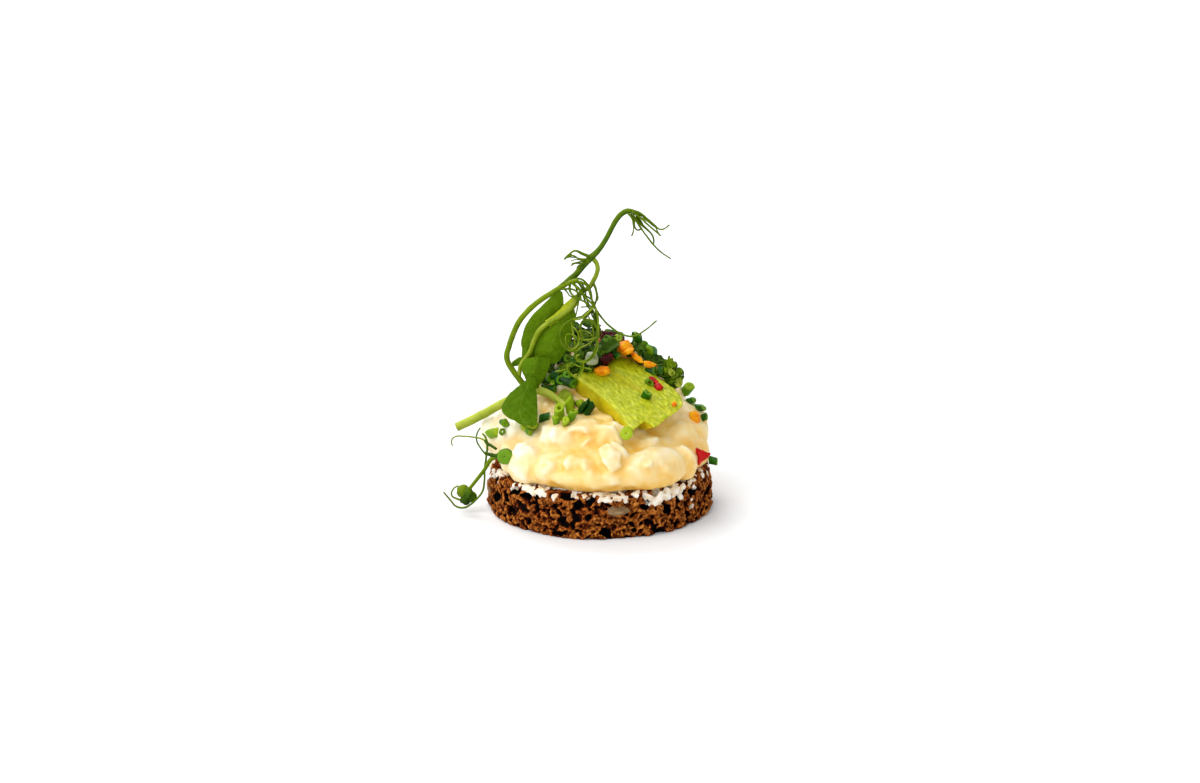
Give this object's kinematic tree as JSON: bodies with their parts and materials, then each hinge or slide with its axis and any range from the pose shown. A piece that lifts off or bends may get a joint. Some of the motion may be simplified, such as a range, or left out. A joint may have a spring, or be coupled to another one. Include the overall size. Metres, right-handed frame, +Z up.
{
  "type": "open sandwich",
  "caption": "Small open sandwich: a round of dark bread with butter, a mound of creamy salad, an avocado slice, chopped herbs and a standing pea shoot.",
  "frame": {"origin": "centre of the bread's flat underside, where it rests", "axes": "+X to the right and +Y away from the front, where the avocado slice faces -Y; +Z up, out of the top"},
  "size_m": [0.0658, 0.0551, 0.0744],
  "materials": {
    "dark_bread": "rough, open crumb",
    "butter": "satin",
    "creamy_salad": "moist",
    "avocado_flesh": "moist",
    "pea_green": "satin",
    "sprig_green": "satin",
    "herb_green": "satin"
  },
  "bodies": {
    "root": {"bread_round": "dark_bread", "butter_layer": "butter", "salad_mound": "creamy_salad", "avocado_slice": "avocado_flesh", "pea_shoot": "pea_green", "side_sprig": "sprig_green", "curly_sprig": "herb_green"}
  },
  "joints": []
}
